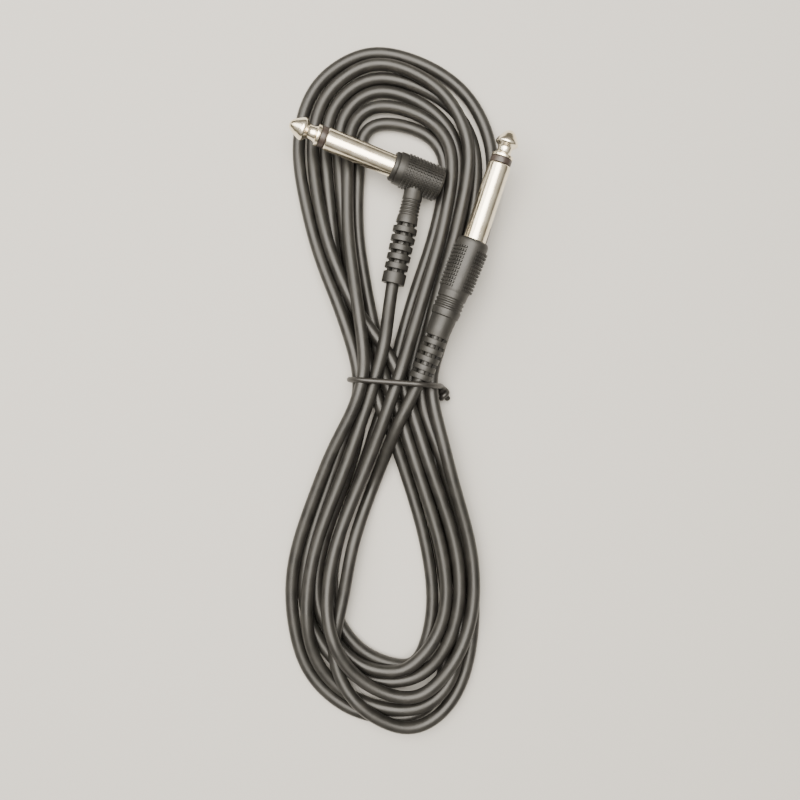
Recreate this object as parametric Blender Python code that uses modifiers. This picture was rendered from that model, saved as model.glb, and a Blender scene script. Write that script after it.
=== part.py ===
"""Instrument cable in a tied hank, with a straight and a right-angle 6.35 mm plug.

The hank lies on the plane z = 0 with its length along Y. Lengths are in millimetres
until they reach Blender, which gets metres. A plug's pieces are built in its own frame:
the origin is where the barrel meets the moulded handle, and +Z runs back from the tip.
"""
import math

import bmesh
import bpy
from mathutils import Matrix, Vector

MM = 0.001
MERGE = 0.00001
GAP = 0.3

# Cord and hank
CORD_R = 1.8
HANK_HEIGHT = 7.2
HANK_OUTLINE = [
    (-12.1, 1.3), (-14.6, 10.8), (-25.8, 45.6), (-30.5, 67.9), (-29.1, 77.9), (-21.5, 93.1),
    (-6.0, 98.8), (7.8, 95.1), (23.8, 83.1), (28.5, 68.2), (25.8, 45.6), (15.2, 16.5),
    (10.3, 0.5), (14.3, -17.8), (18.6, -32.1), (23.3, -57.9), (21.1, -76.4), (5.5, -98.3),
    (-6.8, -96.2), (-20.5, -91.0), (-28.8, -79.3), (-32.4, -60.7), (-24.1, -28.4), (-16.2, -6.4),
]
UPPER_EYE = [
    (-3.7, 12.0), (-8.0, 25.0), (-10.5, 39.3), (-12.0, 53.6), (-12.0, 67.9), (-8.6, 75.2),
    (0.0, 77.8), (10.9, 71.6), (14.9, 63.0), (13.4, 53.6), (10.0, 42.2), (6.0, 30.8), (1.5, 19.0),
]
LOWER_EYE = [
    (0.9, -17.0), (4.6, -26.4), (6.9, -45.0), (8.3, -57.9), (6.4, -72.1), (-3.4, -78.7),
    (-11.7, -75.0), (-14.7, -63.6), (-10.2, -40.4), (-5.7, -28.4),
]

# Plug contact: radii, and the stations behind the tip, which are stretched on one plug
SLEEVE_R = 3.175
NECK_R = 2.0
ROD_R = 0.95
TIP_CONE = 3.5
COLLAR = (6.9, 7.8)
BAND = 1.5
ANGLE_STRETCH = 1.12

# Straight plug: where its barrel meets the handle, its tip and the end of its boot
STRAIGHT_SHOULDER = Vector((20.7, 40.2, 13.3))
STRAIGHT_TIP = Vector((30.6, 69.8, 14.9))
STRAIGHT_BOOT_END = Vector((6.0, 2.7, 10.9))
STRAIGHT_REACH = 31.3
STRAIGHT_LENGTH = 40.8
STRAIGHT_BOOT = 28.2

# Right-angle plug: the same for its straight axis, and where its neck leaves the head
ANGLE_SHOULDER = Vector((-1.9, 62.1, 8.6))
ANGLE_TIP = Vector((-29.4, 71.7, 15.0))
ANGLE_REACH = 30.2
HEAD_LENGTH = 14.8
HEAD_R = 5.0
NECK_STATION = 7.7
NECK_END = Vector((-1.8, 29.0, 6.6))
NECK_LENGTH = 31.2
NECK_BOOT = 13.9

# Pieces inside both mouldings, as stations behind the shoulder
FLANGE_R = 3.55
FLANGE = (1.4, 2.4)
SHELL_R = 3.0
ROD_END = 4.6

# Wire tie, as (x, z) round the waist
TIE_R = 0.8
TIE_ROUTE = [
    (10.5, 1.0), (4.0, 0.9), (-4.0, 0.9), (-11.2, 0.9), (-13.5, 2.3), (-14.0, 5.8),
    (-13.1, 9.4), (-10.4, 11.6), (-5.0, 12.3), (0.8, 12.9), (5.6, 13.5), (9.3, 11.2), (11.4, 7.8),
    (11.9, 5.0),
]
TIE_Y = 1.2
TIE_SLANT = -0.075

MATERIALS = {
    "nickel": ((0.86, 0.80, 0.66), 0.18, 1.0),
    "black_pvc": ((0.028, 0.026, 0.023), 0.45, 0.0),
    "cord_jacket": ((0.025, 0.023, 0.02), 0.38, 0.0),
    "black_insulator": ((0.03, 0.028, 0.026), 0.4, 0.0),
    "clear_insulator": ((0.78, 0.76, 0.70), 0.4, 0.0),
    "tie_coating": ((0.03, 0.028, 0.025), 0.5, 0.0),
    "copper": ((0.72, 0.42, 0.26), 0.35, 1.0),
}


def new_collection(name):
    collection = bpy.data.collections.get(name) or bpy.data.collections.new(name)
    if name not in bpy.context.scene.collection.children:
        bpy.context.scene.collection.children.link(collection)
    return collection


def make_materials():
    for name, (colour, roughness, metallic) in MATERIALS.items():
        made = bpy.data.materials.new(name)
        made.use_nodes = True
        shader = made.node_tree.nodes["Principled BSDF"]
        shader.inputs["Base Color"].default_value = (*colour, 1.0)
        shader.inputs["Roughness"].default_value = roughness
        shader.inputs["Metallic"].default_value = metallic
        made.diffuse_color = (*colour, 1.0)


def place(name, data, parent, material):
    """Add a named object to the parts; with no material it is a cutter."""
    made = bpy.data.objects.new(name, data)
    made.parent = parent
    if material:
        PARTS.objects.link(made)
        data.materials.append(bpy.data.materials[material])
    else:
        CUTTERS.objects.link(made)
        made.hide_render = True
        made.display_type = "WIRE"
    return made


def frame_empty(name, origin, z_axis, x_hint):
    """An empty at origin whose Z is z_axis and whose X is as near x_hint as it can be."""
    z = z_axis.normalized()
    x = (x_hint - z * x_hint.dot(z)).normalized()
    y = z.cross(x)
    made = bpy.data.objects.new(name, None)
    made.location = origin * MM
    made.rotation_euler = Matrix((x, y, z)).transposed().to_euler()
    PARTS.objects.link(made)
    return made


def turned(name, parent, material, outer, bore=None, segments=24):
    """Turn a profile round Z: (station, radius) pairs from front to back, with a bore or solid."""
    if bore:
        profile = outer[::-1] + bore
    else:
        profile = [(outer[-1][0], 0.0)] + outer[::-1] + [(outer[0][0], 0.0)]
    points = [(radius * MM, 0.0, station * MM) for station, radius in profile]
    edges = [(i, i + 1) for i in range(len(points) - 1)]
    if bore:
        edges.append((len(points) - 1, 0))
    mesh = bpy.data.meshes.new(name)
    mesh.from_pydata(points, edges, [])
    made = place(name, mesh, parent, material)
    screw = made.modifiers.new("turn", "SCREW")
    screw.steps = segments
    screw.render_steps = segments
    screw.use_merge_vertices = True
    screw.merge_threshold = MERGE
    screw.use_smooth_shade = True
    return made


def box(name, parent, material, low, high):
    mesh = bpy.data.meshes.new(name)
    shape = bmesh.new()
    bmesh.ops.create_cube(shape, size=1.0)
    size = [(high[i] - low[i]) * MM for i in range(3)]
    middle = [(high[i] + low[i]) * MM / 2 for i in range(3)]
    bmesh.ops.scale(shape, vec=size, verts=shape.verts)
    bmesh.ops.translate(shape, vec=middle, verts=shape.verts)
    shape.to_mesh(mesh)
    shape.free()
    return place(name, mesh, parent, material)


def combine(target, other, operation):
    boolean = target.modifiers.new(other.name, "BOOLEAN")
    boolean.object = other
    boolean.operation = operation
    boolean.solver = "EXACT"


def smooth_route(points, per_span=4):
    """Points along a Catmull-Rom curve through the given ones."""
    ends = [points[0] * 2 - points[1]] + points + [points[-1] * 2 - points[-2]]
    route = []
    for a, b, c, d in zip(ends, ends[1:], ends[2:], ends[3:]):
        for step in range(per_span):
            t = step / per_span
            curve = b * 2 + (c - a) * t + (a * 2 - b * 5 + c * 4 - d) * t * t
            route.append((curve + (b * 3 - a - c * 3 + d) * t ** 3) / 2)
    return route + [points[-1]]


def round_wire(name, parent, material, route, radius, resolution=2):
    curve = bpy.data.curves.new(name, "CURVE")
    curve.dimensions = "3D"
    curve.bevel_depth = radius * MM
    curve.bevel_resolution = resolution
    curve.use_fill_caps = True
    spline = curve.splines.new("POLY")
    spline.points.add(len(route) - 1)
    for point, place_mm in zip(spline.points, route):
        point.co = (*(place_mm * MM), 1.0)
    return place(name, curve, parent, material)


def as_mesh(made):
    """Turn a curve object into a welded mesh object of the same name."""
    name = made.name
    in_parts = name in PARTS.objects
    evaluated = made.evaluated_get(bpy.context.evaluated_depsgraph_get())
    mesh = bpy.data.meshes.new_from_object(evaluated)
    shape = bmesh.new()
    shape.from_mesh(mesh)
    bmesh.ops.remove_doubles(shape, verts=shape.verts, dist=MERGE)
    bmesh.ops.recalc_face_normals(shape, faces=shape.faces)
    shape.to_mesh(mesh)
    shape.free()
    matrix = made.matrix_world.copy()
    bpy.data.objects.remove(made)
    solid = bpy.data.objects.new(name, mesh)
    solid.matrix_world = matrix
    if in_parts:
        PARTS.objects.link(solid)
    else:
        CUTTERS.objects.link(solid)
        solid.hide_render = True
        solid.display_type = "WIRE"
    return solid


def contact_set(prefix, frame, reach, stretch=1.0):
    """Tip contact, insulators and barrel, from the tip to just behind the shoulder."""
    shape = [
        (0.0, 0.6), (0.3, 1.15), (1.2, 1.9), (TIP_CONE - 0.5, 3.0), (TIP_CONE, SLEEVE_R),
        (TIP_CONE + 0.4, 3.0), (4.7, NECK_R + 0.1), (5.3, NECK_R), (6.2, NECK_R + 0.1),
        (COLLAR[0] - 0.1, NECK_R + 0.4), (COLLAR[0], 3.0), (COLLAR[1], 3.0), (COLLAR[1], ROD_R),
    ]
    turned(prefix + "tip_contact", frame, "nickel",
           [(station * stretch - reach, radius) for station, radius in shape]
           + [(ROD_END, ROD_R)])
    band_front = COLLAR[1] * stretch - reach + 0.15
    barrel_front = band_front + BAND + 0.15
    turned(prefix + "front_insulator", frame, "black_insulator",
           [(band_front, 2.95), (band_front + BAND, 2.95)],
           [(band_front, 1.2), (band_front + BAND, 1.2)])
    turned(prefix + "barrel", frame, "nickel", [
        (barrel_front, 2.95), (barrel_front + 0.3, SLEEVE_R), (FLANGE[0], SLEEVE_R),
        (FLANGE[0], FLANGE_R), (FLANGE[1], FLANGE_R),
    ], [(barrel_front, 1.9), (FLANGE[1], 1.9)])
    turned(prefix + "insulator_tube", frame, "clear_insulator",
           [(barrel_front, 1.7), (FLANGE[1], 1.7)],
           [(barrel_front, 1.2), (FLANGE[1], 1.2)], segments=16)


def terminals(prefix, frame):
    """What is stacked on the barrel's back: insulating washer, tip lug and ground clip washer."""
    turned(prefix + "rear_insulator", frame, "black_insulator",
           [(FLANGE[1] + GAP, 1.75), (3.5, 1.75)], [(FLANGE[1] + GAP, 1.35), (3.5, 1.35)],
           segments=16)
    lug = turned(prefix + "tip_lug", frame, "nickel",
                 [(3.8, 1.9), (4.2, 1.9)], [(3.8, 1.35), (4.2, 1.35)], segments=16)
    tongue = box(prefix + "tip_lug_tongue", frame, None, (-0.7, -1.8, 3.85), (0.7, -1.4, 9.0))
    combine(lug, tongue, "UNION")
    clip = turned(prefix + "ground_clip", frame, "nickel",
                  [(2.7, 2.8), (3.1, 2.8)], [(2.7, 2.0), (3.1, 2.0)], segments=16)
    return clip


def straight_insides(frame):
    clip = terminals("straight_", frame)
    arm = box("straight_clip_arm", frame, None, (-0.8, 2.2, 2.75), (0.8, 2.65, 12.4))
    crimp = turned("straight_clip_crimp", frame, None,
                   [(10.4, 2.45), (12.4, 2.45)], [(10.4, 2.0), (12.4, 2.0)], segments=16)
    combine(clip, arm, "UNION")
    combine(clip, crimp, "UNION")
    turned("straight_inner_sleeve", frame, "clear_insulator",
           [(2.7, FLANGE_R), (13.4, FLANGE_R)], [(2.7, SHELL_R), (13.4, SHELL_R)])
    round_wire("straight_core_wire", frame, "copper",
               [Vector((0, -0.85, 5.4)), Vector((0, -0.8, 6.4)), Vector((0, -0.3, 7.6))], 0.3, 1)
    turned("straight_core_insulation", frame, "clear_insulator",
           [(8.0, 0.75), (9.3, 0.75)], segments=12)
    round_wire("straight_shield_tail", frame, "copper",
               [Vector((0, 1.2, 9.3)), Vector((0, 1.45, 8.4)), Vector((0, 1.65, 7.0))], 0.3, 1)
    turned("straight_cord_end", frame, "cord_jacket",
           [(9.7, CORD_R - 0.1), (STRAIGHT_LENGTH - GAP, CORD_R - 0.1)], segments=16)


def groove(station, radius, depth=0.25, width=0.35):
    """Four profile points that cut a shallow ring groove at a station."""
    return [(station - width, radius), (station - width / 2, radius - depth),
            (station + width / 2, radius - depth), (station + width, radius)]


def boot(name, frame, start, end, radii, slots, pitch, first):
    """A strain relief: rings with deep slots between them, on a thin inner wall."""
    outer = [(start + GAP, radii[0])]
    for number in range(slots):
        middle = first + number * pitch
        radius = radii[0] + (radii[1] - radii[0]) * (middle - start) / (end - start)
        outer += [(middle - 0.5, radius), (middle - 0.45, 2.5),
                  (middle + 0.45, 2.5), (middle + 0.5, radius)]
    outer += [(end - 0.4, radii[1]), (end, radii[1] - 0.4)]
    turned(name, frame, "black_pvc", outer, [(start + GAP, 2.05), (end, 2.05)])


def straight_handle(frame):
    """Moulded grip with a knurled pad on each side, then a ringed neck and the boot."""
    outer = [(0.0, 3.9), (0.4, 4.3), (1.2, 4.45), (14.3, 4.3), (15.2, 4.1)]
    for station in (17.4, 18.6, 19.8):
        outer += groove(station, 4.05)
    outer += [(22.2, 3.9), (22.3, 3.6), (STRAIGHT_BOOT, 3.35)]
    grip = turned("straight_grip", frame, "black_pvc", outer, [
        (0.0, 3.35), (1.1, 3.35), (1.1, 3.85), (14.0, 3.85), (14.0, 2.05), (STRAIGHT_BOOT, 2.05),
    ])
    pads = turned("straight_pads", frame, None,
                  [(2.2, 4.75), (2.6, 5.0), (14.2, 4.85)], [(2.2, 4.0), (14.2, 4.0)])
    band = box("straight_smooth_band", frame, None, (-2.15, -6.0, 2.0), (2.15, 6.0, 14.5))
    combine(pads, band, "DIFFERENCE")
    combine(grip, pads, "UNION")
    boot("straight_boot", frame, STRAIGHT_BOOT, STRAIGHT_LENGTH, (3.4, 3.2), 4, 2.55, 31.0)


def angle_insides(frame, neck):
    terminals("angle_", frame)
    sleeve = turned("angle_inner_sleeve", frame, "clear_insulator",
                    [(2.7, FLANGE_R), (12.4, FLANGE_R)], [(2.7, SHELL_R), (12.4, SHELL_R)])
    way = turned("angle_sleeve_way", neck, None, [(0.0, 2.1), (6.0, 2.1)])
    combine(sleeve, way, "DIFFERENCE")
    round_wire("angle_core_wire", neck, "copper",
               [Vector((0, 0, -0.2)), Vector((0, 0, 0.8)), Vector((0, 0, 1.6))], 0.3, 1)
    turned("angle_core_insulation", neck, "clear_insulator",
           [(1.9, 0.75), (3.9, 0.75)], segments=12)
    round_wire("angle_shield_tail", neck, "copper",
               [Vector((0.2, 1.3, 3.9)), Vector((0.4, 1.6, 2.6)), Vector((0.9, 1.6, 1.6))], 0.3, 1)
    turned("angle_cord_end", neck, "cord_jacket",
           [(4.2, CORD_R - 0.1), (NECK_LENGTH - GAP, CORD_R - 0.1)], segments=16)


def angle_head(frame, neck):
    """Moulded head round the plug's axis, with the neck leaving its side, and the boot."""
    head = turned("angle_head", frame, "black_pvc", [
        (0.0, 3.8), (0.4, 4.2), (1.3, 4.25), (1.5, 4.6), (3.4, HEAD_R), (HEAD_LENGTH - 0.6, HEAD_R),
        (HEAD_LENGTH, HEAD_R - 0.6),
    ])
    outer = [(0.5, 2.55), (6.6, 2.6)]
    for number in range(5):
        outer += groove(7.5 + number * 0.95, 2.65 + number * 0.04, 0.2, 0.28)
    outer += [(NECK_BOOT, 3.1)]
    stem = turned("angle_stem", neck, None, outer)
    pocket = turned("angle_pocket", frame, None, [
        (-1.0, 3.35), (1.1, 3.35), (1.1, 3.85), (12.8, 3.85),
    ])
    way = turned("angle_cord_way", neck, None, [(0.0, 2.05), (NECK_BOOT + 1.0, 2.05)])
    combine(head, stem, "UNION")
    combine(head, pocket, "DIFFERENCE")
    combine(head, way, "DIFFERENCE")
    boot("angle_boot", neck, NECK_BOOT, NECK_LENGTH, (3.5, 3.3), 5, 2.61, 17.1)


def straight_plug():
    """The straight plug; its handle has set a few degrees out of line with its barrel."""
    side = Vector((1.0, 0.0, 0.0))
    barrel = frame_empty("straight_barrel_frame", STRAIGHT_SHOULDER,
                         STRAIGHT_SHOULDER - STRAIGHT_TIP, side)
    handle = frame_empty("straight_handle_frame", STRAIGHT_SHOULDER,
                         STRAIGHT_BOOT_END - STRAIGHT_SHOULDER, side)
    contact_set("straight_", barrel, STRAIGHT_REACH)
    straight_insides(handle)
    straight_handle(handle)


def angle_plug():
    axis = (ANGLE_SHOULDER - ANGLE_TIP).normalized()
    root = ANGLE_SHOULDER + axis * NECK_STATION
    frame = frame_empty("angle_head_frame", ANGLE_SHOULDER, axis, NECK_END - root)
    neck = frame_empty("angle_neck_frame", root, NECK_END - root, axis)
    contact_set("angle_", frame, ANGLE_REACH, ANGLE_STRETCH)
    angle_insides(frame, neck)
    angle_head(frame, neck)


def eye_or_outline(curve, points):
    spline = curve.splines.new("BEZIER")
    spline.use_cyclic_u = True
    spline.bezier_points.add(len(points) - 1)
    for point, (x, y) in zip(spline.bezier_points, points):
        point.co = (x * MM, y * MM, 0.0)
        point.handle_left_type = "AUTO"
        point.handle_right_type = "AUTO"


def lead_routes():
    """The two stretches that aren't coiled, each from its boot to where it joins the hank."""
    back = (STRAIGHT_BOOT_END - STRAIGHT_SHOULDER).normalized()
    straight_start = STRAIGHT_SHOULDER + back * (STRAIGHT_LENGTH + GAP)
    axis = (ANGLE_SHOULDER - ANGLE_TIP).normalized()
    root = ANGLE_SHOULDER + axis * NECK_STATION
    down = (NECK_END - root).normalized()
    angle_start = root + down * (NECK_LENGTH + GAP)
    straight_lead = [straight_start] + [Vector(point) for point in (
        (4.9, 0.1, 10.6), (3.5, -3.0, 10.1), (1.7, -6.9, 9.0), (-0.3, -11.1, 7.7),
        (-1.6, -14.1, 6.8),
    )]
    angle_lead = [angle_start] + [Vector(point) for point in (
        (-2.4, 25.0, 6.6), (-3.1, 20.0, 6.8), (-3.8, 15.0, 7.0), (-4.6, 9.5, 7.0),
    )]
    return straight_lead, angle_lead


def hank():
    """The outer shape of the tied turns, with a channel where each lead sinks into it."""
    curve = bpy.data.curves.new("cord_hank", "CURVE")
    curve.dimensions = "2D"
    curve.fill_mode = "BOTH"
    curve.extrude = HANK_HEIGHT / 2 * MM
    curve.resolution_u = 4
    for outline in (HANK_OUTLINE, UPPER_EYE, LOWER_EYE):
        eye_or_outline(curve, outline)
    made = place("cord_hank", curve, None, "cord_jacket")
    made.location.z = HANK_HEIGHT / 2 * MM
    bpy.context.view_layer.update()
    solid = as_mesh(made)
    for name, lead in zip(("straight", "angle"), lead_routes()):
        route = smooth_route(lead, 3)
        round_wire("cord_lead_" + name, None, "cord_jacket", route, CORD_R)
        onward = route[-1] + (route[-1] - route[-2]).normalized() * GAP
        channel = round_wire(name + "_channel", None, None, route + [onward], CORD_R + GAP)
        combine(solid, as_mesh(channel), "DIFFERENCE")
    reach = 20.0
    slot = box("tie_slot", None, None, (-reach, -1.3, -1.0), (reach, 1.3, 2 * TIE_R + 2 * GAP))
    slot.location = (0.0, TIE_Y * MM, 0.0)
    slot.rotation_euler.z = math.atan(TIE_SLANT)
    combine(solid, slot, "DIFFERENCE")


def wire_tie():
    """One coated wire round the waist, its two ends twisted together at the side."""
    turns = 0.75
    length = 2.8
    steps = 6
    spread = TIE_R + GAP / 2
    root = Vector((12.8, TIE_Y + TIE_SLANT * 12.8 - 0.6, 2.6))

    def twisted_end(phase):
        end = []
        for step in range(steps + 1):
            angle = phase + 2 * math.pi * turns * step / steps
            along = Vector((0.1, -1.0, 0.0)) * length * step / steps
            end.append(root + along + Vector((math.cos(angle), 0, math.sin(angle))) * spread)
        return end

    loop = [Vector((x, TIE_Y + TIE_SLANT * x, z)) for x, z in TIE_ROUTE]
    lower = twisted_end(-math.pi / 2)
    upper = twisted_end(math.pi / 2)
    round_wire("wire_tie", None, "tie_coating",
               smooth_route(lower[::-1] + loop + upper, 3), TIE_R)


for old in list(bpy.data.objects):
    bpy.data.objects.remove(old)
PARTS = new_collection("instrument_cable")
CUTTERS = new_collection("cutters")
make_materials()
straight_plug()
angle_plug()
hank()
wire_tie()
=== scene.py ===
"""The look of an instrument cable: one cord in a tied hank, two moulded 6.35 mm plugs.

Lengths are in millimetres until they reach Blender, which gets metres.
"""
import math

import bmesh
import bpy
import numpy as np
from mathutils import Matrix, Vector


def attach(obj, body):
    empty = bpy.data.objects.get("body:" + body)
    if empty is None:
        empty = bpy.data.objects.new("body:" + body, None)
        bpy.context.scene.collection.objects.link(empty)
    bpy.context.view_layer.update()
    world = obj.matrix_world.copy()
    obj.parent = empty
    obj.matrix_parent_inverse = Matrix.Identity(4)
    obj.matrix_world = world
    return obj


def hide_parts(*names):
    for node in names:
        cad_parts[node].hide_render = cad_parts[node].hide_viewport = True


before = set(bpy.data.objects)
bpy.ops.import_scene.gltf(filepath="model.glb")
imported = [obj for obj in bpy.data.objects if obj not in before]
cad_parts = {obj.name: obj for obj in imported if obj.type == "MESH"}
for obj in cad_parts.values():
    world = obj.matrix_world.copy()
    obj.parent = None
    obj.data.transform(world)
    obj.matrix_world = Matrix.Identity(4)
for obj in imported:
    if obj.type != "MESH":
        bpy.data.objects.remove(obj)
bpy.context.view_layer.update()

MM = 0.001

# ---------------------------------------------------------------- cord sizes and lay

CORD_R = 1.8
CORD_D = 2 * CORD_R
STEP = 1.5

# How far the corners of the route are rounded: its plan, and again once it has settled.
PLAN_EASING = 5.0
LAST_EASING = 2.2

# The tie, as the cord feels it: its height under the cord and how far to each side that is
# felt, its two sides, and how fast they open out beyond its half width.
TIE_Y = 1.0
TIE_BOTTOM = 1.7
TIE_LIFT_REACH = 5.0
TIE_INSIDE = (-11.3, 9.2)
TIE_HALF_WIDTH = 1.5
TIE_OPENING = 0.06

# The outermost line that a turn follows, and the way in from it, at each station round
# the hank's two ends. The key stations are those where a turn says how far in it lies.
UPPER_LINE = [
    ((-16.9, 25.0), (1.0, 0.0)), ((-24.1, 45.0), (1.0, 0.0)), ((-28.7, 68.0), (1.0, 0.0)),
    ((-25.0, 84.7), (0.8, -0.6)), ((-16.0, 93.2), (0.45, -0.9)), ((-5.9, 96.4), (0.05, -1.0)),
    ((7.2, 92.8), (-0.3, -0.95)), ((15.1, 88.1), (-0.55, -0.83)), ((21.4, 81.5), (-0.8, -0.6)),
    ((26.8, 67.0), (-1.0, -0.1)), ((24.4, 45.0), (-1.0, 0.0)), ((16.0, 25.0), (-1.0, 0.0)),
]
UPPER_KEYS = (0, 1, 2, 5, 9, 10, 11)
LOWER_LINE = [
    ((-19.2, -20.0), (1.0, 0.0)), ((-28.0, -45.0), (1.0, 0.0)), ((-30.0, -62.0), (1.0, 0.0)),
    ((-27.1, -77.5), (0.85, 0.5)), ((-21.9, -86.0), (0.7, 0.7)), ((-13.9, -92.3), (0.4, 0.9)),
    ((-5.1, -95.8), (0.1, 1.0)), ((1.5, -96.9), (0.0, 1.0)), ((8.0, -95.3), (-0.3, 0.95)),
    ((14.3, -89.6), (-0.8, 0.6)), ((18.0, -82.4), (-0.9, 0.4)), ((19.9, -75.2), (-1.0, 0.2)),
    ((21.1, -62.0), (-1.0, 0.0)), ((20.1, -45.0), (-1.0, 0.0)), ((13.1, -20.0), (-1.0, 0.0)),
]
LOWER_KEYS = (0, 1, 2, 3, 5, 7, 9, 12, 13, 14)

# Each half turn in the order of the cord: which end, which way round, where it crosses the
# waist on its way in, how far inside the outermost line it lies at the key stations, and
# how high it starts on its left, its end and its right, in levels of LEVEL millimetres.
LEFT_TO_RIGHT, RIGHT_TO_LEFT = 1, -1
HALF_TURNS = [
    ("lower", LEFT_TO_RIGHT, -5.9,
     (5.0, 4.7, 4.1, 3.2, 2.4, 4.3, 4.2, 3.2, 5.0, 3.0), (1.3, 1.2, 0.4)),
    ("upper", RIGHT_TO_LEFT, 8.8,
     (1.8, 5.6, 7.8, 6.9, 4.8, 4.3, 3.1), (0.5, 0.5, 0.4)),
    ("lower", LEFT_TO_RIGHT, -11.0,
     (5.5, 6.0, 7.0, 12.0, 15.0, 17.5, 16.5, 7.7, 8.2, 8.8), (0.2, 0.8, 1.2)),
    ("upper", LEFT_TO_RIGHT, -2.5,
     (6.5, 11.0, 17.2, 20.0, 13.4, 14.2, 12.4), (0.2, 0.1, 0.1)),
    ("lower", LEFT_TO_RIGHT, -4.2,
     (9.5, 10.0, 10.0, 12.0, 14.5, 16.0, 14.0, 11.2, 11.8, 12.7), (0.1, 0.3, 0.1)),
    ("upper", LEFT_TO_RIGHT, -7.0,
     (5.0, 8.6, 11.8, 10.8, 10.0, 10.2, 6.5), (0.1, 0.3, 0.2)),
    ("lower", RIGHT_TO_LEFT, 6.2,
     (0.0, 0.0, 0.0, 0.0, 1.0, 2.5, 2.5, 6.4, 8.0, 5.0), (1.5, 0.2, 0.3)),
    ("upper", LEFT_TO_RIGHT, -9.6,
     (4.6, 9.2, 13.8, 15.6, 12.3, 12.1, 9.4), (1.4, 1.4, 1.6)),
    ("lower", LEFT_TO_RIGHT, -1.5,
     (10.6, 10.1, 9.8, 10.6, 10.2, 8.9, 6.2, 0.0, 0.0, 0.0), (1.5, 1.5, 1.6)),
    ("upper", RIGHT_TO_LEFT, 9.5,
     (0.0, 0.0, 0.0, 0.0, 0.0, 0.0, 0.0), (1.7, 1.6, 0.9)),
    ("lower", LEFT_TO_RIGHT, -12.4,
     (1.0, 1.5, 2.2, 6.0, 10.0, 13.6, 11.5, 4.0, 4.1, 5.0), (0.8, 1.7, 1.7)),
    ("upper", LEFT_TO_RIGHT, 0.8,
     (2.5, 3.2, 4.4, 3.9, 6.8, 8.3, 5.1), (0.5, 1.8, 1.6)),
    ("lower", RIGHT_TO_LEFT, 7.0,
     (15.1, 14.9, 13.8, 10.3, 4.0, 0.2, 0.0, 1.0, 2.0, 1.5), (1.3, 1.4, 0.5)),
]
LEVEL = 4.4

# How the cord settles: how many rounds there are, from which share of them on it is left to
# itself, how far it sinks and how hard it is drawn back to its plan in each of the others.
ROUNDS = 240
LEFT_ALONE = 0.8
SINK = 0.05
HOLD = 0.06

# How often its bends are evened out in a round, and how far each time.
STIFFNESS = 6
EVENING = 0.45

# How often its turns are parted in a round, the gap between them, how much of the way they
# go at once, and how near pairs of points are looked up, and every how many rounds.
CONTACT_PASSES = 3
TURN_GAP = 0.05
PARTING = 0.8
PAIR_REACH = CORD_D + 2.0
PAIR_STEPS = 4
PAIR_ROUNDS = 8


def catmull_rom(points, per_span):
    """A smooth route through every point."""
    points = [np.asarray(p, float) for p in points]
    ends = [2 * points[0] - points[1]] + points + [2 * points[-1] - points[-2]]
    route = []
    for a, b, c, d in zip(ends, ends[1:], ends[2:], ends[3:]):
        for step in range(per_span):
            t = step / per_span
            route.append((2 * b + (c - a) * t + (2 * a - 5 * b + 4 * c - d) * t * t
                          + (3 * b - a - 3 * c + d) * t ** 3) / 2)
    return np.array(route + [points[-1]])


def lengths(route):
    """The length of each step along a route."""
    return np.linalg.norm(np.diff(route, axis=0), axis=1)


def distances(route):
    """How far along the route each of its points is."""
    return np.concatenate([[0], np.cumsum(lengths(route))])


def resampled(route, step):
    """The route with its points evenly spaced."""
    along = distances(route)
    count = int(round(along[-1] / step)) + 1
    wanted = np.linspace(0, along[-1], count)
    return np.column_stack([np.interp(wanted, along, route[:, i]) for i in range(3)])


def height_at(level):
    """How high the cord's centreline is at a level."""
    return TIE_BOTTOM + CORD_R + level * LEVEL


def half_turn_points(end, way, insets, levels):
    """One half turn's points, from the waist round an end loop and back."""
    line, keys = (UPPER_LINE, UPPER_KEYS) if end == "upper" else (LOWER_LINE, LOWER_KEYS)
    spread = np.interp(range(len(line)), keys, insets)
    last = len(line) - 1
    points = []
    for station, ((x, y), (nx, ny)) in enumerate(line):
        level = np.interp(station, (0, last / 2, last), levels)
        inset = spread[station]
        points.append((x + nx * inset, y + ny * inset, height_at(level)))
    return points[::way]


def hank_route(start_lead, end_lead):
    """The cord's first route: lead, half turns, lead, before it settles."""
    points = list(start_lead)
    for number, (end, way, waist_x, insets, levels) in enumerate(HALF_TURNS):
        if number:
            left = levels[0] if way == LEFT_TO_RIGHT else levels[2]
            points.append((waist_x, TIE_Y, height_at(left)))
        points += half_turn_points(end, way, insets, levels)
    points.pop()
    points += list(end_lead)
    return resampled(catmull_rom(points, 8), STEP)


def eased(route, reach):
    """The route with its corners rounded over a reach, its ends left where they are."""
    half = int(3 * reach / STEP)
    weights = np.exp(-0.5 * (np.arange(-half, half + 1) * STEP / reach) ** 2)
    weights /= weights.sum()
    before = 2 * route[0] - route[half:0:-1]
    after = 2 * route[-1] - route[-2:-half - 2:-1]
    padded = np.concatenate([before, route, after])
    return np.column_stack([np.convolve(padded[:, i], weights, "valid") for i in range(3)])


def rounded_plan(route):
    """Eased, with what the easing took off the ends of the loops put back."""
    once = eased(route, PLAN_EASING)
    return once + eased(route - once, PLAN_EASING)


def close_pairs(points, reach, apart):
    """Pairs of route points within reach of each other and this many steps apart or more."""
    cells = np.floor(points / reach).astype(int)
    order = {}
    for index, cell in enumerate(map(tuple, cells)):
        order.setdefault(cell, []).append(index)
    first, second = [], []
    beside = [(i, j, k) for i in (-1, 0, 1) for j in (-1, 0, 1) for k in (-1, 0, 1)]
    for cell, here in order.items():
        near = []
        for i, j, k in beside:
            near += order.get((cell[0] + i, cell[1] + j, cell[2] + k), [])
        near = np.array(near)
        for index in here:
            others = near[near >= index + apart]
            others = others[np.linalg.norm(points[others] - points[index], axis=1) < reach]
            first.append(np.full(len(others), index))
            second.append(others)
    return np.concatenate(first), np.concatenate(second)


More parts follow.
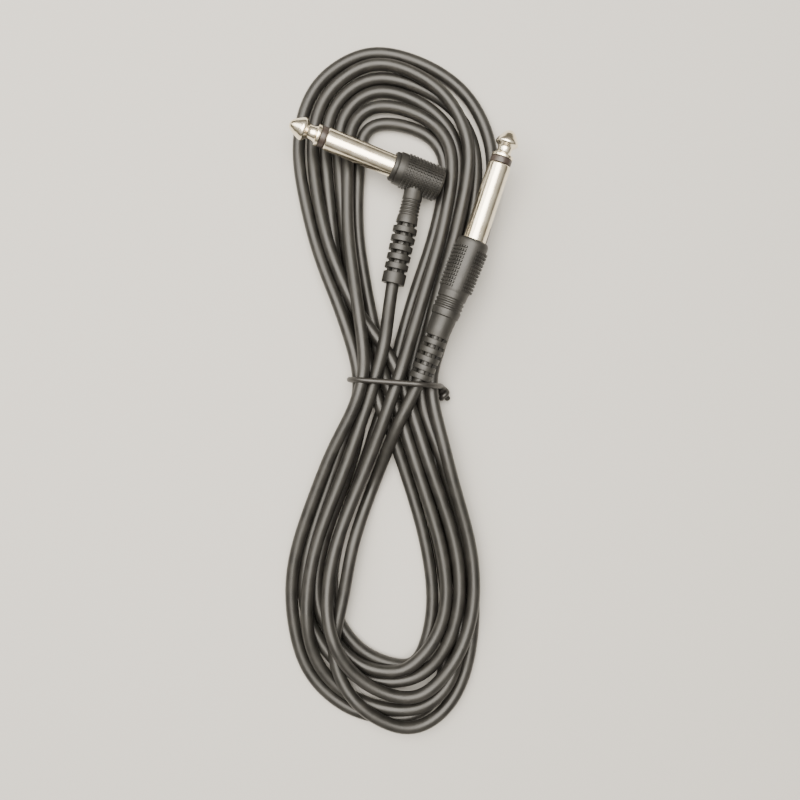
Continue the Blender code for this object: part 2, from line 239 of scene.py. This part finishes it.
def unevenness(values):
    """How far each value is from the middle of its neighbours, nought at the ends."""
    found = np.zeros_like(values)
    found[1:-1] = (values[:-2] + values[2:]) / 2 - values[1:-1]
    return found


def part_turns(points, free, first, second):
    """Push the two points of each close pair apart until the cord doesn't run into itself."""
    gap = points[second] - points[first]
    far = np.linalg.norm(gap, axis=1)
    deep = np.clip(CORD_D + TURN_GAP - far, 0, None)
    push = gap / np.maximum(far, 1e-6)[:, None] * (deep * 0.5)[:, None] * PARTING
    move = np.zeros_like(points)
    count = np.ones(len(points))
    np.add.at(move, first, -push)
    np.add.at(move, second, push)
    np.add.at(count, first, (deep > 0) * 1.0)
    np.add.at(count, second, (deep > 0) * 1.0)
    points[free] += (move / np.sqrt(count)[:, None])[free]


def clear_rod(points, free, start, end, radius):
    """Push the cord out of one round thing."""
    axis = end - start
    t = np.clip(((points - start) @ axis) / (axis @ axis), 0, 1)
    away = points - (start + t[:, None] * axis)
    far = np.linalg.norm(away, axis=1)
    deep = np.clip(radius + CORD_R - far, 0, None)
    points[free] += (away / np.maximum(far, 1e-6)[:, None] * deep[:, None])[free]


def keep_in_tie(points, free):
    """Keep the cord on the floor, over the tie's wire and between its two sides."""
    from_tie = points[:, 1] - TIE_Y
    floor = CORD_R + TIE_BOTTOM * np.exp(-0.5 * (from_tie / TIE_LIFT_REACH) ** 2)
    points[free, 2] = np.maximum(points[free, 2], floor[free])
    room = np.square(np.maximum(np.abs(from_tie) - TIE_HALF_WIDTH, 0.0)) * TIE_OPENING
    points[free, 0] = np.clip(points[:, 0], TIE_INSIDE[0] - room, TIE_INSIDE[1] + room)[free]


def settle(route, pinned, rods):
    """Let the cord sink under its own weight until its turns lie on each other and the floor.

    The route is held near its first plan, pinned points stay, and rods are round things
    (start, end, radius) that the cord goes round. In the last rounds it neither sinks nor is
    drawn to its plan, so that it comes clear of itself. Nothing in it is random.
    """
    plan = route.copy()
    points = route.copy()
    free = ~pinned
    for number in range(ROUNDS):
        late = number > ROUNDS * LEFT_ALONE
        if number % PAIR_ROUNDS == 0:
            first, second = close_pairs(points, PAIR_REACH, PAIR_STEPS)
        if not late:
            points[free, 2] -= SINK
            points[free, :2] += (plan - points)[free, :2] * HOLD
        for _ in range(STIFFNESS):
            points[free] += unevenness(points - plan)[free] * EVENING
        points[free, 2] += unevenness(points[:, 2])[free] * EVENING
        for _ in range(CONTACT_PASSES):
            part_turns(points, free, first, second)
            for start, end, radius in rods:
                clear_rod(points, free, start, end, radius)
            keep_in_tie(points, free)
    return points


# ---------------------------------------------------------------- where the plugs lie

# The shoulder is where a barrel meets its moulding, and stations run back from it. A neck's
# stations run from its root in the head's axis.
STRAIGHT_SHOULDER = np.array((20.7, 40.2, 13.3))
STRAIGHT_TIP = np.array((30.6, 69.8, 14.9))
STRAIGHT_BOOT_END = np.array((6.0, 2.7, 10.9))
STRAIGHT_REACH = 31.3
GRIP_END = 15.0
STRAIGHT_BOOT = 28.2
STRAIGHT_LENGTH = 40.8
ANGLE_SHOULDER = np.array((-1.9, 62.1, 8.6))
ANGLE_TIP = np.array((-29.4, 71.7, 15.0))
ANGLE_REACH = 30.2
ANGLE_STRETCH = 1.12
HEAD_LENGTH = 14.8
HEAD_R = 5.0
NECK_STATION = 7.7
NECK_AIM = np.array((-1.8, 29.0, 6.6))
NECK_BOOT = 13.9
NECK_LENGTH = 31.2
BARREL_R = 3.175

# How far the cord runs into a boot, the gap before its lead starts, and how much of the
# lead is held still.
INTO_BOOT = 2.5
LEAD_GAP = 0.3
HELD_LEAD = 6


def unit(vector):
    """The vector's direction, with a length of one."""
    return vector / np.linalg.norm(vector)


STRAIGHT_AXIS = unit(STRAIGHT_SHOULDER - STRAIGHT_TIP)
HANDLE_AXIS = unit(STRAIGHT_BOOT_END - STRAIGHT_SHOULDER)
ANGLE_AXIS = unit(ANGLE_SHOULDER - ANGLE_TIP)
NECK_ROOT = ANGLE_SHOULDER + ANGLE_AXIS * NECK_STATION
NECK_AXIS = unit(NECK_AIM - NECK_ROOT)

# The cord's two leads, each from its boot to where it joins the turns.
STRAIGHT_LEAD = [
    (4.9, 0.1, 10.6), (3.5, -3.0, 10.1), (1.7, -6.9, 9.0), (-0.3, -11.1, 7.7),
    (-1.6, -14.1, 6.6), (-4.7, -22.0, 4.6), (-8.0, -30.0, 3.4),
]
ANGLE_LEAD = [(-2.4, 25.0, 6.6), (-3.1, 20.0, 6.8), (-3.8, 15.0, 7.0), (-4.6, 9.5, 7.0)]


def plug_frame(origin, axis, x_hint):
    """A frame in metres whose Z is the axis and whose X is as near x_hint as it can be."""
    z = Vector(axis)
    x = Vector(x_hint)
    x = (x - z * x.dot(z)).normalized()
    turn = Matrix((x, z.cross(x), z)).transposed().to_4x4()
    return Matrix.Translation(Vector(origin) * MM) @ turn @ Matrix.Scale(MM, 4)


# Each moulding's and each contact's own frame.
SIDE = (1.0, 0.0, 0.0)
BARREL_FRAME = plug_frame(STRAIGHT_SHOULDER, STRAIGHT_AXIS, SIDE)
HANDLE_FRAME = plug_frame(STRAIGHT_SHOULDER, HANDLE_AXIS, SIDE)
HEAD_FRAME = plug_frame(ANGLE_SHOULDER, ANGLE_AXIS, NECK_AXIS)
NECK_FRAME = plug_frame(NECK_ROOT, NECK_AXIS, ANGLE_AXIS)


def on_handle(station):
    """The point of the straight plug's moulding at a station."""
    return STRAIGHT_SHOULDER + HANDLE_AXIS * station


def on_neck(station):
    """The point of the right-angle plug's neck at a station."""
    return NECK_ROOT + NECK_AXIS * station


def plug_rods():
    """What the cord goes round: barrels, grips, necks and boots as (start, end, radius)."""
    return [
        (ANGLE_TIP, ANGLE_SHOULDER, BARREL_R),
        (ANGLE_SHOULDER, ANGLE_SHOULDER + ANGLE_AXIS * 11, HEAD_R),
        (NECK_ROOT, on_neck(NECK_LENGTH), 3.4),
        (STRAIGHT_TIP, STRAIGHT_SHOULDER, BARREL_R),
        (STRAIGHT_SHOULDER, on_handle(GRIP_END), 5.0),
        (on_handle(GRIP_END), on_handle(28), 4.1),
        (on_handle(28), on_handle(39.6), 3.4),
    ]


def cord_route():
    """The whole cord's centreline, from inside the angle plug's boot to inside the other."""
    start_lead = [on_neck(NECK_LENGTH + LEAD_GAP)]
    start_lead += [np.array(point) for point in ANGLE_LEAD]
    end_lead = [on_handle(STRAIGHT_LENGTH + LEAD_GAP)]
    end_lead += [np.array(point) for point in STRAIGHT_LEAD]
    route = rounded_plan(hank_route(start_lead, end_lead[::-1]))
    along = distances(route)
    pinned = (along < HELD_LEAD) | (along > along[-1] - HELD_LEAD)
    route = eased(settle(route, pinned, plug_rods()), LAST_EASING)
    return np.vstack([on_neck(NECK_LENGTH - INTO_BOOT), route,
                      on_handle(STRAIGHT_LENGTH - INTO_BOOT)])


# ---------------------------------------------------------------- materials

def new_material(name, roughness, metallic=0.0):
    """A material with its node tree's handles: nodes, links, shader and object coordinates."""
    made = bpy.data.materials.new(name)
    made.use_nodes = True
    nodes = made.node_tree.nodes
    shader = nodes["Principled BSDF"]
    shader.inputs["Metallic"].default_value = metallic
    shader.inputs["Roughness"].default_value = roughness
    place = nodes.new("ShaderNodeTexCoord").outputs["Object"]
    return made, nodes, made.node_tree.links, shader, place


def noise(nodes, links, place, scale, detail):
    """Noise with this many features in a metre."""
    made = nodes.new("ShaderNodeTexNoise")
    made.inputs["Scale"].default_value = scale
    made.inputs["Detail"].default_value = detail
    links.new(place, made.inputs["Vector"])
    return made.outputs["Fac"]


def colour_ramp(nodes, links, factor, target, stops):
    """A ramp from a factor to a colour socket. stops is two of (position, colour)."""
    ramp = nodes.new("ShaderNodeValToRGB")
    for element, (position, colour) in zip(ramp.color_ramp.elements, stops):
        element.position = position
        element.color = (*colour, 1.0)
    links.new(factor, ramp.inputs["Fac"])
    links.new(ramp.outputs["Color"], target)


def colour_spread(nodes, links, factor, shader, dark, light):
    """A base colour that wanders between two tones with a noise."""
    colour_ramp(nodes, links, factor, shader.inputs["Base Color"], ((0.35, dark), (0.65, light)))


def roughness_spread(nodes, links, factor, shader, low, high):
    """A roughness that wanders between two values with a noise."""
    spread = nodes.new("ShaderNodeMapRange")
    spread.inputs["From Min"].default_value = 0.3
    spread.inputs["From Max"].default_value = 0.7
    spread.inputs["To Min"].default_value = low
    spread.inputs["To Max"].default_value = high
    links.new(factor, spread.inputs["Value"])
    links.new(spread.outputs["Result"], shader.inputs["Roughness"])


def bumps(nodes, links, shader, layers):
    """Bump layers one on the other, each a height and how many millimetres it stands."""
    last = None
    for height, depth in layers:
        bump = nodes.new("ShaderNodeBump")
        bump.inputs["Strength"].default_value = 1.0
        bump.inputs["Distance"].default_value = depth * MM
        links.new(height, bump.inputs["Height"])
        if last:
            links.new(last, bump.inputs["Normal"])
        last = bump.outputs["Normal"]
    links.new(last, shader.inputs["Normal"])


def plastic(name, dark, light, roughness, grain, depth):
    """Moulded or extruded plastic: blotchy tone and sheen with a fine grain.

    dark and light are its two tones, roughness its least and most, grain how many grains
    there are in a metre and depth how many millimetres they stand.
    """
    made, nodes, links, shader, place = new_material(name, roughness[0])
    broad = noise(nodes, links, place, 260.0, 4.0)
    fine = noise(nodes, links, place, grain, 2.0)
    colour_spread(nodes, links, broad, shader, dark, light)
    roughness_spread(nodes, links, broad, shader, *roughness)
    bumps(nodes, links, shader, [(broad, depth * 2), (fine, depth)])
    return made


def plated(name, dark, light, roughness):
    """Bright metal: faint tarnish, hairline scratches and a little waviness."""
    made, nodes, links, shader, place = new_material(name, roughness[0], metallic=1.0)
    tarnish = noise(nodes, links, place, 340.0, 5.0)
    stretch = nodes.new("ShaderNodeMapping")
    stretch.inputs["Rotation"].default_value = (0.0, 0.0, 0.6)
    stretch.inputs["Scale"].default_value = (0.06, 1.0, 1.0)
    links.new(place, stretch.inputs["Vector"])
    hairlines = noise(nodes, links, stretch.outputs["Vector"], 7000.0, 2.0)
    colour_spread(nodes, links, tarnish, shader, dark, light)
    roughness_spread(nodes, links, tarnish, shader, *roughness)
    bumps(nodes, links, shader, [(tarnish, 0.004), (hairlines, 0.0012)])
    return made


def make_materials():
    """Every slot's material, by the slot's name."""
    return {
        "nickel": plated("nickel_plate", (0.90, 0.80, 0.62), (0.98, 0.90, 0.74), (0.16, 0.26)),
        "black_pvc": plastic("moulded_pvc", (0.011, 0.0105, 0.0095), (0.019, 0.018, 0.016),
                             (0.40, 0.50), 5200.0, 0.006),
        "cord_jacket": plastic("cord_pvc", (0.010, 0.0095, 0.0085), (0.018, 0.017, 0.015),
                               (0.36, 0.45), 3600.0, 0.005),
        "black_insulator": plastic("insulator_nylon", (0.030, 0.022, 0.019),
                                   (0.048, 0.036, 0.031), (0.30, 0.42), 4200.0, 0.003),
        "clear_insulator": plastic("clear_plastic", (0.66, 0.64, 0.58), (0.78, 0.76, 0.70),
                                   (0.30, 0.42), 3000.0, 0.003),
        "tie_coating": plastic("tie_pvc", (0.014, 0.013, 0.012), (0.022, 0.020, 0.018),
                               (0.34, 0.44), 4800.0, 0.004),
        "copper": plated("bare_copper", (0.62, 0.33, 0.19), (0.78, 0.47, 0.30), (0.24, 0.38)),
    }


# ---------------------------------------------------------------- shapes for the plugs

def finished(name, shape, matrix, slot, replaced=()):
    """A smooth-shaded object from a bmesh in a plug frame, riding on the cable."""
    sharp = math.radians(38)
    bmesh.ops.remove_doubles(shape, verts=shape.verts, dist=0.00001)
    bmesh.ops.recalc_face_normals(shape, faces=shape.faces)
    for face in shape.faces:
        face.smooth = True
    for edge in shape.edges:
        edge.smooth = len(edge.link_faces) != 2 or edge.calc_face_angle() < sharp
    mesh = bpy.data.meshes.new(name)
    shape.to_mesh(mesh)
    shape.free()
    mesh.transform(matrix)
    made = bpy.data.objects.new(name, mesh)
    bpy.context.scene.collection.objects.link(made)
    dressed(made, slot, replaced)


def dressed(made, slot, replaced):
    """Give a piece its material, the body it rides on and the CAD nodes it stands for."""
    made.data.materials.append(MATERIALS[slot])
    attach(made, "root")
    if replaced:
        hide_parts(*replaced)


def eased_profile(points, reach):
    """The profile with each corner rounded over a reach, its two ends left alone."""
    steps = 3
    points = [np.array(point, float) for point in points]
    route = [points[0]]
    for before, corner, after in zip(points, points[1:], points[2:]):
        near = min(reach, np.linalg.norm(before - corner) / 2.2)
        far = min(reach, np.linalg.norm(after - corner) / 2.2)
        start = corner + unit(before - corner) * near
        end = corner + unit(after - corner) * far
        for step in range(steps + 1):
            t = step / steps
            route.append((1 - t) ** 2 * start + 2 * t * (1 - t) * corner + t * t * end)
    route.append(points[-1])
    return [(float(station), float(radius), 0.0) for station, radius in route]


def around(count):
    """Plain columns, evenly spaced round an axis."""
    return [(2 * math.pi * i / count, 0.0) for i in range(count)]


def turned(rows, columns, depth=0.0, shape=None):
    """A profile turned round Z, as a bmesh in millimetres or added to one.

    Rows are (station, radius, relief) and columns (angle, relief): where both have relief,
    the surface stands proud by depth. A profile off the axis at its ends closes on itself.
    """
    shape = shape or bmesh.new()
    rings = []
    for station, radius, row_relief in rows:
        ring = []
        for angle, column_relief in columns:
            reach = radius + depth * min(row_relief, column_relief)
            place = (reach * math.cos(angle), reach * math.sin(angle), station)
            ring.append(shape.verts.new(place))
        rings.append(ring)
    pairs = list(zip(rings, rings[1:]))
    if rows[0][1] > 0:
        pairs.append((rings[-1], rings[0]))
    for first, second in pairs:
        for i, corner in enumerate(first):
            shape.faces.new((first[i - 1], corner, second[i], second[i - 1]))
    return shape


def knurl_rows(start, end, cells, radius):
    """Rows of a knurled stretch: a groove and a land in each cell. radius is (first, last)."""
    rows = []
    pitch = (end - start) / cells
    for cell in range(cells):
        for part, relief in ((0.02, 0.0), (0.30, 0.0), (0.42, 1.0), (0.90, 1.0)):
            along = start + (cell + part) * pitch
            share = (along - start) / (end - start)
            rows.append((along, radius[0] + (radius[1] - radius[0]) * share, relief))
    rows.append((end, radius[1], 0.0))
    return rows


def knurl_columns(cells, smooth=()):
    """Columns of a knurl round the axis, with plain bands: (middle angle, half width)."""
    columns = []
    pitch = 2 * math.pi / cells
    for cell in range(cells):
        centre = (cell + 0.65) * pitch
        plain = any(abs(math.remainder(centre - middle, 2 * math.pi)) < half
                    for middle, half in smooth)
        for part, relief in ((0.0, 0.0), (0.30, 0.0), (0.42, 1.0), (0.88, 1.0)):
            columns.append(((cell + part) * pitch, 0.0 if plain else relief))
    return columns


# A contact's tip from its point back: the cone, the neck that a jack grips and the collar.
TIP_PROFILE = [
    (0.0, 0.0), (0.0, 0.6), (0.3, 1.15), (1.2, 1.95), (2.6, 2.85), (3.15, 3.12),
    (3.5, BARREL_R), (3.85, 3.08), (4.3, 2.55), (4.75, 2.1), (5.3, 1.96), (6.2, 2.02),
    (6.7, 2.25), (6.85, 2.5), (6.9, 3.0), (7.8, 3.0), (7.8, 0.95),
]
TIP_END = 7.8
BAND_LENGTH = 1.5
BAND_GAP = 0.15
FLANGE_R = 3.55


def contact_set(prefix, matrix, reach, stretch=1.0):
    """Tip, insulator ring and barrel of one plug, whose tip is reach before its shoulder."""
    tip_rows = [(station * stretch - reach, radius) for station, radius in TIP_PROFILE]
    tip_rows = eased_profile(tip_rows + [(4.6, 0.95), (4.6, 0.0)], 0.2)
    finished(prefix + "tip", turned(tip_rows, around(72)), matrix, "nickel",
             [prefix + "tip_contact"])
    band = TIP_END * stretch - reach + BAND_GAP
    band_end = band + BAND_LENGTH
    ring_rows = eased_profile([
        (band + 0.7, 1.2), (band, 1.2), (band, 2.97), (band_end, 2.97), (band_end, 1.2),
        (band + 0.8, 1.2),
    ], 0.1)
    finished(prefix + "ring", turned(ring_rows, around(72)), matrix, "black_insulator",
             [prefix + "front_insulator"])
    front = band_end + BAND_GAP
    barrel_rows = eased_profile([
        (-10.0, 1.9), (front, 1.9), (front, 2.95), (front + 0.28, BARREL_R), (1.4, BARREL_R),
        (1.4, FLANGE_R), (2.4, FLANGE_R), (2.4, 1.9), (-9.0, 1.9),
    ], 0.12)
    finished(prefix + "sleeve", turned(barrel_rows, around(96)), matrix, "nickel",
             [prefix + "barrel"])


def ring_groove(station, radius, depth, width):
    """The four corners of a groove round a neck."""
    return [(station - width, radius), (station - width / 2, radius - depth),
            (station + width / 2, radius - depth), (station + width, radius)]


# Inside radii of the mouldings: round the terminals and round the cord.
HOLLOW_R = 3.85
BORE_R = 2.05


def straight_grip():
    """The moulded grip: knurled pads on both sides, a smooth band, a ringed neck."""
    smooth_half = math.radians(18)
    pad_height = 0.55
    front = eased_profile([
        (1.1, HOLLOW_R), (1.1, 3.4), (0.0, 3.4), (0.0, 3.9), (0.4, 4.3), (1.2, 4.45),
        (2.2, 4.42),
    ], 0.3)
    pads = knurl_rows(2.2, 14.2, 12, (4.42, 4.3))
    tail = [(14.4, 4.3), (15.2, 4.1)]
    for station in (17.4, 18.6, 19.8):
        tail += ring_groove(station, 4.05, 0.3, 0.42)
    tail += [(22.2, 3.9), (22.32, 3.6), (26.0, 3.45), (STRAIGHT_BOOT, 3.35),
             (STRAIGHT_BOOT, BORE_R), (14.0, BORE_R), (14.0, HOLLOW_R), (7.0, HOLLOW_R)]
    rows = front + pads + eased_profile(tail, 0.14)
    columns = knurl_columns(42, [(math.pi / 2, smooth_half), (-math.pi / 2, smooth_half)])
    shape = turned(rows, columns, pad_height)
    finished("straight_handle", shape, HANDLE_FRAME, "black_pvc", ["straight_grip"])


def angle_head():
    """The right-angle plug's knurled head and its smooth collar."""
    knurl_r = 4.55
    knurl_height = 0.45
    front = eased_profile([
        (1.1, HOLLOW_R), (1.1, 3.4), (0.0, 3.4), (0.0, 3.8), (0.35, 4.2), (1.15, 4.25),
        (1.3, 4.1), (1.45, 4.6), (3.0, 4.68), (3.3, 4.66),
    ], 0.12)
    knurl = knurl_rows(3.3, 14.2, 11, (knurl_r, knurl_r))
    tail = eased_profile([
        (14.25, knurl_r), (HEAD_LENGTH, 4.35), (HEAD_LENGTH, 0.6), (12.8, 0.6),
        (12.8, HOLLOW_R), (7.0, HOLLOW_R),
    ], 0.25)
    shape = turned(front + knurl + tail, knurl_columns(36), knurl_height)
    finished("angle_grip", shape, HEAD_FRAME, "black_pvc", ["angle_head"])


def angle_neck():
    """The neck that leaves the head's side, with five ring grooves."""
    stem = [(1.0, BORE_R), (1.0, 2.75), (5.0, 2.72), (6.7, 2.75)]
    for number in range(5):
        stem += ring_groove(7.5 + number * 0.95, 2.8 + number * 0.03, 0.26, 0.36)
    stem += [(NECK_BOOT, 3.1), (NECK_BOOT, BORE_R), (1.2, BORE_R)]
    shape = turned(eased_profile(stem, 0.1), around(96))
    finished("angle_neck", shape, NECK_FRAME, "black_pvc")


# A boot's slots: half their width. They are open through to the cord. Then the four bars
# that join the rings: where the first is, half its width and how far out it reaches.
SLOT_HALF = 0.48
BRIDGE_ANGLE = math.radians(66)
BRIDGE_HALF = math.radians(9)
BRIDGE_R = 2.85


def bridge(shape, angle, low, high):
    """A bar along the boot, sunk below its rings, which shows in the slots between them."""
    arc = [angle + BRIDGE_HALF * share for share in (-1.0, -0.33, 0.33, 1.0)]
    section = [(BRIDGE_R, a) for a in arc] + [(2.0, a) for a in arc[::-1]]
    ends = [[shape.verts.new((r * math.cos(a), r * math.sin(a), station)) for r, a in section]
            for station in (low, high)]
    for i in range(len(section)):
        shape.faces.new((ends[0][i - 1], ends[0][i], ends[1][i], ends[1][i - 1]))


def boot(name, matrix, replaced, start, end, radii, slots, first, pitch):
    """A strain relief: rings joined by four sunk bridges, with open slots between them.

    The boot narrows from radii[0] at its start to radii[1] at its end, and its slots are
    a pitch apart from the first.
    """
    middles = [first + number * pitch for number in range(slots)]
    lows = [middle + SLOT_HALF for middle in middles]
    highs = [middle - SLOT_HALF for middle in middles[1:]] + [end]
    shape = bmesh.new()
    for low, high in zip(lows, highs):
        near, far = [radii[0] + (radii[1] - radii[0]) * (s - start) / (end - start)
                     for s in (low, high)]
        loop = [(low + 0.1, BORE_R), (low, BORE_R), (low, near), (high, far),
                (high, BORE_R), (low + 0.2, BORE_R)]
        turned(eased_profile(loop, 0.16), around(72), shape=shape)
    for quarter in range(4):
        bridge(shape, BRIDGE_ANGLE + quarter * math.pi / 2, start - 0.3, end - 0.5)
    finished(name, shape, matrix, "black_pvc", [replaced])


def tube_curve(name, route, radius, resolution, slot, replaced):
    """One open curve through a route in millimetres, as a round tube."""
    curve = bpy.data.curves.new(name, "CURVE")
    curve.dimensions = "3D"
    curve.bevel_depth = radius * MM
    curve.bevel_resolution = resolution
    curve.use_fill_caps = True
    spline = curve.splines.new("POLY")
    spline.points.add(len(route) - 1)
    for point, place in zip(spline.points, route):
        point.co = (*(float(value) * MM for value in place), 1.0)
    spline.use_smooth = True
    made = bpy.data.objects.new(name, curve)
    bpy.context.scene.collection.objects.link(made)
    dressed(made, slot, replaced)
    return made


# The tie's wire: its loop is a list of (x, z) in an upright plane that slants a little.
TIE_R = 0.8
TIE_MIDDLE_Y = 1.2
TIE_SLANT = -0.075
TIE_LOOP = [
    (10.5, 1.0), (4.0, 0.9), (-4.0, 0.9), (-11.2, 0.9), (-13.5, 2.3), (-14.0, 5.8),
    (-13.1, 9.4), (-10.4, 11.6), (-5.0, 12.3), (0.8, 12.9), (5.6, 13.5), (9.3, 11.2),
    (11.4, 7.8), (11.9, 5.0),
]

# Its two ends are twisted about one axis, which starts at the root.
TWIST_ROOT = np.array((12.8, TIE_MIDDLE_Y + TIE_SLANT * 12.8 - 0.6, 2.6))
TWIST_WAY = np.array((0.1, -1.0, 0.0))
TWIST_LENGTH = 2.8
TWIST_TURNS = 0.75
TWIST_STEPS = 12


def twisted_end(phase):
    """One end of the tie's wire, wound about the twist's axis from this angle on."""
    spread = TIE_R + 0.08
    end = []
    for step in range(TWIST_STEPS + 1):
        angle = phase + 2 * math.pi * TWIST_TURNS * step / TWIST_STEPS
        along = TWIST_WAY * TWIST_LENGTH * step / TWIST_STEPS
        aside = np.array((math.cos(angle), 0, math.sin(angle))) * spread
        end.append(TWIST_ROOT + along + aside)
    return end


def wire_tie():
    """The tie's wire round the waist, with its two ends twisted together at the side."""
    loop = [np.array((x, TIE_MIDDLE_Y + TIE_SLANT * x, z)) for x, z in TIE_LOOP]
    lower = twisted_end(-math.pi / 2)
    upper = twisted_end(math.pi / 2)
    route = catmull_rom(lower[::-1] + loop + upper, 6)
    tube_curve("tie_wire", route, TIE_R, 4, "tie_coating", ["wire_tie"])


def inner_finishes():
    """Procedural materials on the CAD pieces that stay: what is sealed in the mouldings."""
    slots = {
        "insulator_tube": "clear_insulator", "rear_insulator": "black_insulator",
        "tip_lug": "nickel", "ground_clip": "nickel", "inner_sleeve": "clear_insulator",
        "core_wire": "copper", "core_insulation": "clear_insulator",
        "shield_tail": "copper", "cord_end": "cord_jacket",
    }
    for prefix in ("straight_", "angle_"):
        for node, slot in slots.items():
            kept = bpy.data.objects[prefix + node]
            kept.data.materials.clear()
            kept.data.materials.append(MATERIALS[slot])


# ---------------------------------------------------------------- camera, stage and light

# The camera looks straight down. Here and below, places and sizes are in metres.
CAMERA_AT = (0.00033, -0.00354, 0.25)
CAMERA_LENS = 38.8
SENSOR_WIDTH = 36.0
FLOOR_HALF = 1.5
FLOOR_Z = -0.0001
WARM = (1.0, 0.94, 0.84)
HORIZON = (0.13, 0.124, 0.112)
SKY = (0.80, 0.755, 0.67)


def add_camera():
    """The camera that frames the cable, made the scene's own."""
    camera = bpy.data.cameras.new("camera")
    camera.lens = CAMERA_LENS
    camera.sensor_width = SENSOR_WIDTH
    camera.clip_start = 0.01
    camera.clip_end = 20.0
    made = bpy.data.objects.new("camera", camera)
    made.location = CAMERA_AT
    bpy.context.scene.collection.objects.link(made)
    bpy.context.scene.camera = made


def add_area_light(name, place, size, power):
    """A soft light in metres and watts, aimed at the cable."""
    light = bpy.data.lights.new(name, "AREA")
    light.shape = "RECTANGLE"
    light.size, light.size_y = size
    light.energy = power
    light.color = WARM
    made = bpy.data.objects.new(name, light)
    made.location = place
    made.rotation_euler = (-Vector(place)).to_track_quat("-Z", "Y").to_euler()
    bpy.context.scene.collection.objects.link(made)


def add_lights():
    """One broad light overhead and a weaker one from the left."""
    add_area_light("overhead", (-0.08, 0.08, 0.62), (0.60, 0.62), 14.5)
    add_area_light("left_window", (-0.55, 0.35, 0.50), (0.40, 0.40), 3.0)


def add_world():
    """A room that is darker at the horizon than overhead."""
    world = bpy.data.worlds.new("studio")
    world.use_nodes = True
    nodes, links = world.node_tree.nodes, world.node_tree.links
    background = nodes["Background"]
    direction = nodes.new("ShaderNodeTexCoord").outputs["Generated"]
    height = nodes.new("ShaderNodeSeparateXYZ")
    links.new(direction, height.inputs["Vector"])
    colour_ramp(nodes, links, height.outputs["Z"], background.inputs["Color"],
                ((0.25, HORIZON), (0.70, SKY)))
    background.inputs["Strength"].default_value = 1.0
    bpy.context.scene.world = world


def add_floor():
    """A plain pale floor, a hair below the cord so that the two don't share a face."""
    mesh = bpy.data.meshes.new("floor")
    signs = ((-1, -1), (1, -1), (1, 1), (-1, 1))
    corners = [(x * FLOOR_HALF, y * FLOOR_HALF, 0) for x, y in signs]
    mesh.from_pydata(corners, [], [(0, 1, 2, 3)])
    floor = bpy.data.objects.new("floor", mesh)
    floor.location.z = FLOOR_Z
    bpy.context.scene.collection.objects.link(floor)
    paint = bpy.data.materials.new("floor_paint")
    paint.use_nodes = True
    shader = paint.node_tree.nodes["Principled BSDF"]
    shader.inputs["Base Color"].default_value = (0.46, 0.45, 0.43, 1.0)
    shader.inputs["Roughness"].default_value = 0.85
    mesh.materials.append(paint)


# ---------------------------------------------------------------- the scene

MATERIALS = make_materials()
add_camera()
ROUTE = cord_route()
CORD = tube_curve("cord", ROUTE, CORD_R, 4, "cord_jacket",
                  ["cord_hank", "cord_lead_angle", "cord_lead_straight"])
contact_set("straight_", BARREL_FRAME, STRAIGHT_REACH)
contact_set("angle_", HEAD_FRAME, ANGLE_REACH, ANGLE_STRETCH)
straight_grip()
angle_head()
angle_neck()
boot("straight_relief", HANDLE_FRAME, "straight_boot", start=STRAIGHT_BOOT,
     end=STRAIGHT_LENGTH, radii=(3.4, 3.2), slots=5, first=28.6, pitch=2.52)
boot("angle_relief", NECK_FRAME, "angle_boot", start=NECK_BOOT,
     end=NECK_LENGTH, radii=(3.5, 3.3), slots=6, first=14.5, pitch=2.61)
wire_tie()
inner_finishes()

add_floor()
add_lights()
add_world()
